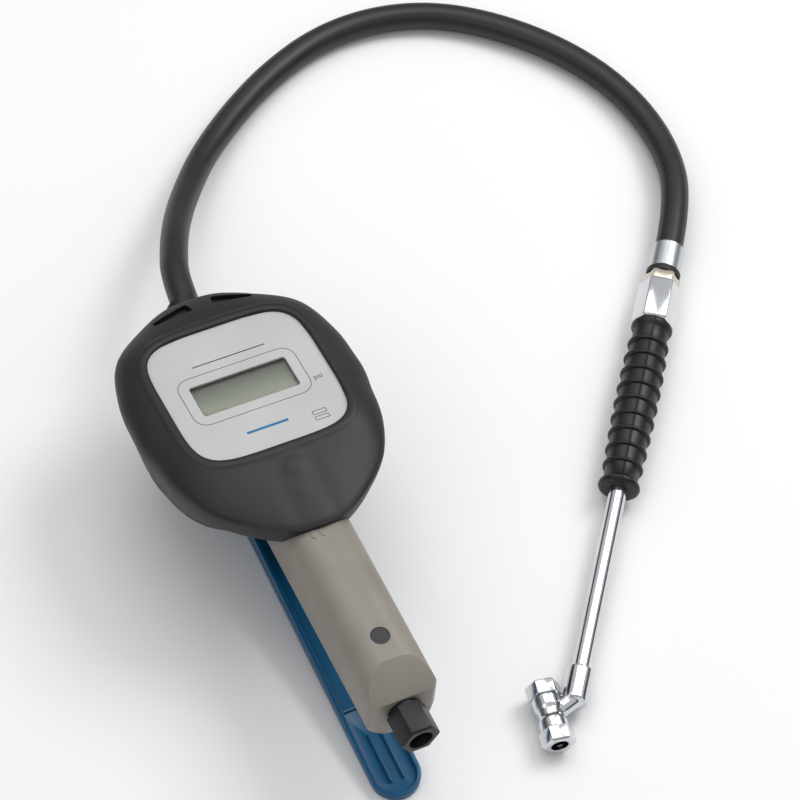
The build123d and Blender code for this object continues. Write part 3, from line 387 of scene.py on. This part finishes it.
# Openings in the underside, for the lever bracket and for the battery door and its screws.
cut(boot, block((-11, 11), (-14.5, 37.5), (-47, -41.9), face_frame, 2))
cut(boot, block((12.2, 39.8), (-26.15, 26.15), (-47, -41.9), face_frame, 1.5))
cut(boot, block((21.7, 30.3), (-30.1, 30.1), (-46.9, -41.8), face_frame, 1))
# The two slots that a hanging strap goes through, wider at their inner ends.
slot_half_depth, narrow_end = 7, 0.42
for inner_x, outer_x, low, high, lean in ((-3.5, -23.5, 54.0, 61.0, 9), (7.5, 27.0, 53.4, 60.4, -14)):
    bpy.ops.mesh.primitive_cube_add(size=2)
    tool = bpy.context.object
    for vertex in tool.data.vertices:
        at_inner = (vertex.co.x > 0) == (inner_x > outer_x)
        tall = 1.0 if at_inner else narrow_end
        vertex.co.x = (inner_x if at_inner else outer_x) * MM
        vertex.co.y = ((low + high) / 2 + vertex.co.y * (high - low) / 2 * tall) * MM
        vertex.co.z *= slot_half_depth * MM
    round_edges(tool, 2, 1.2, 5)
    place = Matrix.Translation(((inner_x + outer_x) / 2 * MM, (low + high) / 2 * MM, 0))
    turn_in = place @ Matrix.Rotation(radians(lean), 4, "Z") @ place.inverted()
    settle(tool, face_frame @ turn_in)
    cut(boot, tool)
smooth(boot, 38)
# Matt black rubber: broad soft highlights on the shoulder, and a fine moulded grain.
boot_rubber, shader = new_material("matt_moulded_black_rubber", "#141415", 0.52)
vary(boot_rubber, shader, 0.9, "#111112", "#171718", (0.46, 0.58), 0.04)
boot.data.materials.append(boot_rubber)
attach(boot, "gun")
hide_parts("rubber_boot")

# ---------------------------------------------------------------- Facia and display
# A satin silver polycarbonate film with its printing, stuck on the case, with a clear window over a
# reflective liquid crystal display. The lettering is left plain, apart from the unit.
# Satin silver film: an even pale grey with hardly any reflection.
facia_film, shader = new_material("satin_silver_printed_film", "#bdbebd", 0.38)
vary(facia_film, shader, 0.35, "#b9bab9", "#c1c2c1", (0.34, 0.42), 0.006)


def finish_node(material, *names):
    """Gives CAD nodes their material."""
    for name in names:
        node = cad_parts[name]
        node.data.materials.clear()
        node.data.materials.append(material)


finish_node(facia_film, "facia_panel")
# Screen ink: a thin flat dark line, duller than the film.
ink, shader = new_material("dark_grey_screen_ink", "#3c3f43", 0.5)
vary(ink, shader, 0.3, "#383b3f", "#43464a", (0.45, 0.55), 0.004)


def printed(name, piece, material):
    """Lays a flat mark on the facia as a printed layer and rides it."""
    piece.name = name
    settle(piece, face_frame)
    piece.data.materials.clear()
    piece.data.materials.append(material)
    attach(piece, "gun")


window_x, line_half_width, line_half_length, line_corner = -1.2, 29.8, 15.2, 7
line_width = 0.3
ink_layer = (0.0, 0.06)
through = (-1, 1)


def centred(middle, half, inset=0.0):
    """The two limits of a span about its middle, drawn in by an inset."""
    return middle - half + inset, middle + half - inset


frame_line = block(
    centred(window_x, line_half_width), centred(0, line_half_length), ink_layer, None, line_corner
)
opening = block(
    centred(window_x, line_half_width, line_width),
    centred(0, line_half_length, line_width),
    through,
    None,
    line_corner - line_width,
)
cut(frame_line, opening)
printed("printed_window_line", frame_line, ink)


def lettering(text, x, y, size):
    """Flat letters as a thin mesh, in the facia's own frame."""
    bpy.ops.object.text_add(location=(x * MM, y * MM, 0.0))
    letters = bpy.context.object
    letters.data.body = text
    letters.data.size = size * MM
    letters.data.extrude = ink_layer[1] / 2 * MM
    letters.data.align_x = "CENTER"
    select_only(letters)
    bpy.ops.object.convert(target="MESH")
    return bpy.context.object


printed("printed_unit", lettering("psi", 32.5, -9.6, 4.2), ink)
# Two flat outlines stand for the cells.
for i, (low, high) in enumerate(((-29.6, -27.2), (-33.2, -30.8))):
    icon = block((20.5, 27.5), (low, high), ink_layer, None, 0.3)
    cut(icon, block((20.5 + line_width, 27.5 - line_width), (low + line_width, high - line_width), through))
    printed(f"printed_cell_symbol_{i + 1}", icon, ink)
# Blue screen ink: the one coloured mark on the film.
blue_ink, shader = new_material("blue_screen_ink", "#1f6a9c", 0.5)
vary(blue_ink, shader, 0.3, "#1c6494", "#2470a4", (0.45, 0.55), 0.004)
printed("printed_blue_bar", block((-12, 9), (-27.6, -26.2), ink_layer, None, 0.5), blue_ink)
printed("printed_title_rule", block((-19, 18), (20.2, 20.8), ink_layer, None, 0.2), ink)

# Clear acrylic: it bends nothing and shows a sharp faint reflection.
window_clear, shader = new_material("clear_acrylic_window", "#f4f6f4", 0.04)
shader.inputs["Transmission Weight"].default_value = 1.0
shader.inputs["IOR"].default_value = 1.49
finish_node(window_clear, "display_lens")
# Reflective display glass: a dull grey-green, with painted shade that darkens it towards its far edge.
lcd_face, shader = new_material("grey_green_liquid_crystal_glass", "#b9bcab", 0.3)
vary(lcd_face, shader, 0.5, "#b4b7a6", "#bfc2b1", (0.25, 0.34), 0.002)
# The glass lies deep behind the film, and the darkening of its far side is painted shade for the shadow of
# the film's edge.
glass_near_y, glass_far_y = 0.0540, 0.0725
glass_place = texture_place(lcd_face)
glass_axes = add_node(lcd_face, "ShaderNodeSeparateXYZ", [("Vector", glass_place, "Vector")])
# A ramp across the glass paints shade into its colour: light at the near edge, dark at the far edge.
painted_shade = add_node(lcd_face, "ShaderNodeValToRGB")
painted_shade_span = add_node(
    lcd_face, "ShaderNodeMapRange", [("Value", glass_axes, "Y")], From_Min=glass_near_y, From_Max=glass_far_y
)
lcd_face.node_tree.links.new(painted_shade_span.outputs["Result"], painted_shade.inputs["Fac"])
painted_shade.color_ramp.elements[0].position = 0.25
painted_shade.color_ramp.elements[0].color = linear("#bcbfae")
painted_shade.color_ramp.elements[1].position = 1.0
painted_shade.color_ramp.elements[1].color = linear("#6f726b")
lcd_face.node_tree.links.new(painted_shade.outputs["Color"], shader.inputs["Base Color"])
finish_node(lcd_face, "lcd_module")

# ---------------------------------------------------------------- Case and what is in it
# A moulded ABS case in two halves, screwed together over a seal, with the circuit board, pressure
# sensor and two cells inside. Only its underside and battery door show, behind the boot.
# Spark-textured black ABS: a dull even black.
case_abs, shader = new_material("spark_textured_black_abs", "#262729", 0.5)
vary(case_abs, shader, 0.7, "#222325", "#2b2c2e", (0.45, 0.58), 0.03)
finish_node(case_abs, "front_case", "rear_case", "battery_cover", "lcd_holder")
# The rear case's corners are drawn in where the boot tapers, so that they stay behind its wall. The
# wall is squeezed less and less towards its inner side, so its two faces never cross.
rear = bpy.data.objects.new("moulded_rear_case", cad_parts["rear_case"].data.copy())
bpy.context.scene.collection.objects.link(rear)
into_face = face_frame.inverted()
case_wall, boot_wall = 2.6, 1.7
for vertex in rear.data.vertices:
    x, y, depth = (c / MM for c in into_face @ vertex.co)
    s = min(max((taper_top - depth) / taper_drop, 0.0), 1.0)
    boot_side = widest - taper_in + (base - widest + taper_in) * s
    limit = np.interp(np.arctan2(x, y) % (2 * pi), angles, boot_side) - boot_wall
    radius = np.hypot(x, y)
    over = radius - limit + case_wall
    if over > 0:
        share = (limit - case_wall * np.exp(-over / case_wall)) / radius
        vertex.co = face_frame @ Vector((x * share * MM, y * share * MM, depth * MM))
smooth(rear, 32)
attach(rear, "gun")
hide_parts("rear_case")
# Soft seal rubber: matt, with no clear highlight.
seal_rubber, shader = new_material("soft_black_seal_rubber", "#19191a", 0.55)
vary(seal_rubber, shader, 0.5, "#161617", "#1e1e1f", (0.5, 0.62), 0.01)
finish_node(seal_rubber, "case_seal", "sensor_seal", "elastomer_connectors")
finish_node(seal_rubber, "inlet_valve_seal", "exhaust_valve_seal", "front_seal", "rear_seal")
# Zinc-plated steel: small bright heads.
screw_steel, shader = new_material("zinc_plated_screw_steel", "#b9bcc0", 0.3, 1.0)
vary(screw_steel, shader, 0.4, "#adb0b4", "#c4c7ca", (0.24, 0.38), 0.008)
finish_node(screw_steel, "case_screws", "board_screws", "battery_cover_screws", "bracket_screws")
finish_node(screw_steel, "shell_screws", "tube_screw", "lever_pivot_pin", "pivot_clip")
finish_node(screw_steel, "front_depressor_pin", "rear_depressor_pin")
finish_node(screw_steel, "inlet_valve_spring", "exhaust_valve_spring", "pressure_sensor")
# Solder-masked laminate: glossy green.
board_laminate, shader = new_material("green_solder_masked_laminate", "#1d5a35", 0.4)
vary(board_laminate, shader, 0.8, "#1a5230", "#22633b", (0.35, 0.45), 0.01)
finish_node(board_laminate, "circuit_board")
# Chip epoxy: a flat black against the green.
chip_epoxy, shader = new_material("black_chip_epoxy", "#1c1c1d", 0.6)
vary(chip_epoxy, shader, 0.3, "#19191a", "#212122", (0.55, 0.65), 0.01)
finish_node(chip_epoxy, "board_chips")
# Cell jackets: smooth printed film, dark grey.
cell_jacket, shader = new_material("printed_cell_jacket_film", "#3b4148", 0.35)
vary(cell_jacket, shader, 0.6, "#363b42", "#434a52", (0.3, 0.4), 0.004)
finish_node(cell_jacket, "batteries")
# Nickel-plated strip: a warm bright metal.
contact_nickel, shader = new_material("nickel_plated_contact_strip", "#c2bdb0", 0.28, 1.0)
vary(contact_nickel, shader, 0.4, "#b7b2a5", "#cbc6ba", (0.22, 0.35), 0.004)
finish_node(contact_nickel, "battery_contacts")

# ---------------------------------------------------------------- Valve block, bracket and air tube
# A die-cast aluminium block with a brass inlet valve and exhaust valve, and a glass-filled nylon bracket
# that is screwed under it and that the lever hangs on.
# Die-cast aluminium: a grainy, dull light metal.
valve_alloy, shader = new_material("die_cast_aluminium", "#9d9fa1", 0.45, 1.0)
vary(valve_alloy, shader, 0.9, "#929496", "#a9abad", (0.38, 0.52), 0.03)
finish_node(valve_alloy, "valve_body")
# Machined brass: yellow, with a clear sheen.
valve_brass, shader = new_material("machined_brass", "#b3923f", 0.3, 1.0)
vary(valve_brass, shader, 0.4, "#a88837", "#bf9e4a", (0.25, 0.38), 0.006)
finish_node(valve_brass, "inlet_valve_stem", "exhaust_valve_stem", "inlet_valve_cap", "exhaust_valve_cap")
# Sintered bronze: a rough brown metal grain.
sinter, shader = new_material("sintered_bronze", "#8a6a43", 0.55, 1.0)
vary(sinter, shader, 0.5, "#7a5c38", "#997850", (0.45, 0.65), 0.12)
finish_node(sinter, "inlet_filter")
# Glass-filled nylon: a dull black with a slight grain.
bracket_nylon, shader = new_material("glass_filled_black_nylon", "#202123", 0.5)
vary(bracket_nylon, shader, 0.6, "#1c1d1f", "#262729", (0.45, 0.56), 0.02)


def rounded_copy(name, node, width, body, material):
    """A copy of a CAD node with its sharp edges rounded over, as a mould or a file leaves them."""
    weld, flat_within, sharp_over = 0.02, radians(1.5), radians(35)
    piece = bpy.data.objects.new(name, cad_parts[node].data.copy())
    bpy.context.scene.collection.objects.link(piece)
    select_only(piece)
    bpy.ops.object.mode_set(mode="EDIT")
    bpy.ops.mesh.select_all(action="SELECT")
    bpy.ops.mesh.remove_doubles(threshold=weld * MM)
    bpy.ops.mesh.dissolve_limited(angle_limit=flat_within)
    bpy.ops.object.mode_set(mode="OBJECT")
    rounding = piece.modifiers.new("rounding", "BEVEL")
    rounding.width = width * MM
    rounding.segments = 3
    rounding.limit_method = "ANGLE"
    rounding.angle_limit = sharp_over
    rounding.use_clamp_overlap = True
    bpy.ops.object.modifier_apply(modifier="rounding")
    smooth(piece, 32)
    piece.data.materials.clear()
    piece.data.materials.append(material)
    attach(piece, body)
    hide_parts(node)
    return piece


rounded_copy("moulded_bracket", "lever_bracket", 0.8, "gun", bracket_nylon)

# ---------------------------------------------------------------- Handle
# Two warm grey ABS halves, joined low along the sides, with a fine spark texture. A dark plug fills the
# screw hole near the tail, and two small raised arcs stand on the top near the boot.
# Warm grey ABS: a fine texture that spreads the highlight along the top.
handle_abs, shader = new_material("warm_grey_textured_abs", "#8a847b", 0.48)
vary(handle_abs, shader, 0.8, "#857f76", "#8f8980", (0.42, 0.54), 0.03)
rounded_copy("handle_top", "upper_handle_shell", 0.7, "gun", handle_abs)
rounded_copy("handle_bottom", "lower_handle_shell", 0.5, "gun", handle_abs)
arc_radius, arc_wire, arc_y, handle_top = 2.4, 0.32, -23.0, 83.25
arc_start, arc_sweep, arc_steps = 115, 130, 12
for i, arc_x in enumerate((-3.6, 0.6)):
    arc = bpy.data.curves.new(f"handle_arc_{i + 1}", "CURVE")
    arc.dimensions = "3D"
    arc.bevel_depth = arc_wire * MM
    arc.use_fill_caps = True
    path = arc.splines.new("POLY")
    path.points.add(arc_steps)
    for k, point in enumerate(path.points):
        turn_at = radians(arc_start + arc_sweep * k / arc_steps)
        x, y = arc_x + arc_radius * cos(turn_at), arc_y + arc_radius * sin(turn_at)
        point.co = (x * MM, y * MM, handle_top * MM, 1)
    mark = bpy.data.objects.new(f"handle_arc_{i + 1}", arc)
    bpy.context.scene.collection.objects.link(mark)
    arc.materials.append(handle_abs)
    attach(mark, "gun")
# Satin grey plastic: a darker, smooth round mark on the handle.
plug_black, shader = new_material("satin_dark_grey_plug", "#242425", 0.5)
vary(plug_black, shader, 0.5, "#212122", "#282829", (0.45, 0.55), 0.02)
finish_node(plug_black, "handle_plug")

# ---------------------------------------------------------------- Inlet
# A black passivated steel hex at the tail, with a female pipe thread for the air line. It is screwed on
# to the blackened end of the aluminium tube that carries the air along the handle.
# Black passivated steel: nearly black flats with soft edges of light.
inlet_black, shader = new_material("black_passivated_steel", "#1b1c1e", 0.4, 0.3)
vary(inlet_black, shader, 0.7, "#17181a", "#212225", (0.34, 0.48), 0.02)
finish_node(inlet_black, "handle_tube")
rounded_copy("inlet_hex", "inlet_adaptor", 0.35, "gun", inlet_black)

# ---------------------------------------------------------------- Lever
# A long trigger lever, moulded in glossy deep blue nylon as a shallow channel with a round tip. It hangs
# on a steel pin at its front end.
# Glossy blue nylon: a deep colour with narrow highlights on the channel edges.
lever_blue, shader = new_material("glossy_deep_blue_nylon", "#045078", 0.3)
vary(lever_blue, shader, 0.9, "#034a71", "#05567f", (0.26, 0.36), 0.015)
shader.inputs["Specular IOR Level"].default_value = 0.3
rounded_copy("trigger", "trigger_lever", 0.6, "lever", lever_blue)

# ---------------------------------------------------------------- Hose fittings
# A crimped sleeve of zinc-plated steel at each end of the hose, with a rubber washer, a nickel-plated
# nut and a long chrome-plated hex that holds the tube. The sleeve under the boot is black.
# Bright zinc plate: a clear streak of light along the sleeve.
ferrule_steel, shader = new_material("bright_zinc_plated_ferrule", "#c9ccd0", 0.3, 1.0)
vary(ferrule_steel, shader, 0.6, "#bfc2c6", "#d2d5d8", (0.24, 0.4), 0.02)
finish_node(ferrule_steel, "outlet_fitting")
finish_node(inlet_black, "outlet_ferrule")


def along(distance):
    """A place on the connector's axis, in millimetres from where the hose enters it."""
    return ferrule_mouth + connector_axis * distance


def turned(name, profile, origin, heading, steps=72):
    """Spins a closed outline of (distance, radius) about its axis, in millimetres."""
    mesh = bpy.data.meshes.new(name)
    points = [(radius * MM, 0, distance * MM) for distance, radius in profile]
    mesh.from_pydata(points, [(i, (i + 1) % len(points)) for i in range(len(points))], [])
    piece = bpy.data.objects.new(name, mesh)
    bpy.context.scene.collection.objects.link(piece)
    select_only(piece)
    bpy.ops.object.mode_set(mode="EDIT")
    bpy.ops.mesh.select_all(action="SELECT")
    bpy.ops.mesh.spin(steps=steps, angle=2 * pi, center=(0, 0, 0), axis=(0, 0, 1))
    bpy.ops.mesh.select_all(action="SELECT")
    bpy.ops.mesh.remove_doubles(threshold=0.01 * MM)
    bpy.ops.mesh.normals_make_consistent(inside=False)
    bpy.ops.object.mode_set(mode="OBJECT")
    settle(piece, Matrix.Translation(origin * MM) @ heading.to_track_quat("Z", "Y").to_matrix().to_4x4())
    return piece


# The sleeve's outline, as (distance, radius): a plain tube with both ends rolled over.
crimp = [(0.0, 7.05), (0.0, 7.9), (0.35, 8.2), (3.0, 8.22), (12.5, 8.22)]
crimp += [(15.0, 8.2), (15.4, 7.8), (15.45, 7.05)]
crimped = turned("crimped_ferrule", crimp, along(0), connector_axis)
smooth(crimped, 25)
crimped.data.materials.append(ferrule_steel)
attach(crimped, "gun")
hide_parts("connector_ferrule")
finish_node(seal_rubber, "sealing_washer")
# Nickel plate: warmer than the chrome beside it.
nickel_plate, shader = new_material("warm_nickel_plated_brass", "#c8bfb0", 0.22, 1.0)
vary(nickel_plate, shader, 0.5, "#beb5a5", "#d1c9bb", (0.16, 0.3), 0.006)
# Polished chrome: hard white and dark streaks from the studio.
chrome_plate, shader = new_material("polished_chrome_plate", "#d9dbde", 0.12, 1.0)
vary(chrome_plate, shader, 0.8, "#d2d4d8", "#e0e2e4", (0.08, 0.18), 0.004)
hose_nut = rounded_copy("hose_nut", "hose_tail_nut", 0.4, "gun", nickel_plate)
long_hex = rounded_copy("long_hex", "connector_hex", 0.45, "gun", chrome_plate)

# ---------------------------------------------------------------- Grip
# A black rubber sleeve with nine soft rings, pushed over the tube, with the mould's parting line.
grip_at, grip_length, grip_flange = 49.1, 100.2, 4.0
ring_count, ring_height, ring_half_width = 9, 1.3, 1.15
core_radius, core_belly, belly_power = 8.2, 1.5, 0.85
# Ribbed grip rubber: black, with a narrow highlight on each ring.
grip_rubber, shader = new_material("ribbed_black_grip_rubber", "#0d0d0e", 0.42)
vary(grip_rubber, shader, 0.8, "#0b0b0c", "#111112", (0.36, 0.48), 0.04)
outline = [(0.0, 4.6), (0.0, 9.0), (0.5, 9.9), (1.2, 10.3), (2.2, 10.3), (3.2, 9.9), (grip_flange, 9.1)]
pitch = (grip_length - 2 * grip_flange) / (ring_count + 1)


def core(distance):
    """The sleeve's radius between its rings, fuller in the middle."""
    return core_radius + core_belly * sin(pi * (distance / grip_length) ** belly_power)


outline.append((grip_flange + 0.8, core(grip_flange)))
for ring in range(ring_count):
    middle = grip_flange + pitch * (ring + 1)
    for turn_deg in range(-90, 91, 30):
        height = ring_height * max(cos(radians(turn_deg)), 0.0)
        outline.append((middle + ring_half_width * sin(radians(turn_deg)), core(middle) + height))
outline += [(grip_length - grip_flange - 1.2, core(grip_length)), (grip_length - grip_flange, 9.2)]
outline += [(grip_length - 3.0, 10.1), (grip_length - 2.0, 10.3), (grip_length - 1.2, 10.0)]
outline += [(grip_length - 0.5, 8.8), (grip_length - 0.1, 7.0), (grip_length, 4.6)]
grip = turned("ringed_grip", outline, along(grip_at), connector_axis, 96)
# The parting line stands up along the top of the sleeve.
line_side = Vector((-0.294, -0.502, 0.813))
line_side = (line_side - connector_axis * connector_axis.dot(line_side)).normalized()
line_half_angle, line_height, outside = radians(2.6), 0.35, 8.0
for vertex in grip.data.vertices:
    arm = vertex.co - along(grip_at) * MM
    arm -= connector_axis * arm.dot(connector_axis)
    if arm.length > outside * MM and arm.normalized().dot(line_side) > cos(line_half_angle):
        vertex.co += arm.normalized() * line_height * MM
smooth(grip, 50)
grip.data.materials.append(grip_rubber)
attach(grip, "gun")
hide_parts("grip_sleeve")

# ---------------------------------------------------------------- Stem and twin head
# A polished chrome-plated steel tube, silver-soldered into a forged head with a push-on mouth at each
# end, each closed by a hexagonal cap over its rubber seal.
finish_node(chrome_plate, "stem_tube")
forged = bpy.data.objects.new("forged_head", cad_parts["twin_head"].data.copy())
bpy.context.scene.collection.objects.link(forged)
select_only(forged)
bpy.ops.object.mode_set(mode="EDIT")
bpy.ops.mesh.select_all(action="SELECT")
bpy.ops.mesh.remove_doubles(threshold=0.02 * MM)
bpy.ops.object.mode_set(mode="OBJECT")
remesh = forged.modifiers.new("remesh", "REMESH")
remesh.mode = "VOXEL"
remesh.voxel_size = 0.45 * MM
bpy.ops.object.modifier_apply(modifier="remesh")
soften = forged.modifiers.new("soften", "SMOOTH")
soften.factor = 0.5
soften.iterations = 8
bpy.ops.object.modifier_apply(modifier="soften")
smooth(forged, 60)
# The forging has a waist between its two ends.
head_axis = Vector((-0.185, -0.982, -0.04)).normalized()
head_centre = Vector((78.3, -113.9, 9.3)) * MM
waist_share, waist_half_length, barrel_inner, barrel_outer = 0.14, 2.6, 5.5, 7.4
for vertex in forged.data.vertices:
    arm = vertex.co - head_centre
    run = arm.dot(head_axis)
    arm -= head_axis * run
    if barrel_inner * MM < arm.length < barrel_outer * MM:
        vertex.co -= arm * waist_share / (1 + (abs(run) / (waist_half_length * MM)) ** 6)
forged.data.materials.clear()
forged.data.materials.append(chrome_plate)
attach(forged, "gun")
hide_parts("twin_head")
rounded_copy("front_mouth", "front_cap", 0.45, "gun", chrome_plate)
rounded_copy("rear_mouth", "rear_cap", 0.45, "gun", chrome_plate)

# A list of the pieces fixed along the hose.
on_hose = [crimped, grip, hose_nut, long_hex]
on_hose += [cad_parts[name] for name in ("outlet_ferrule", "sealing_washer", "stem_tube")]
on_hose += [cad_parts[name] for name in ("front_seal", "rear_seal")]
on_hose += [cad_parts[name] for name in ("front_depressor_pin", "rear_depressor_pin")]
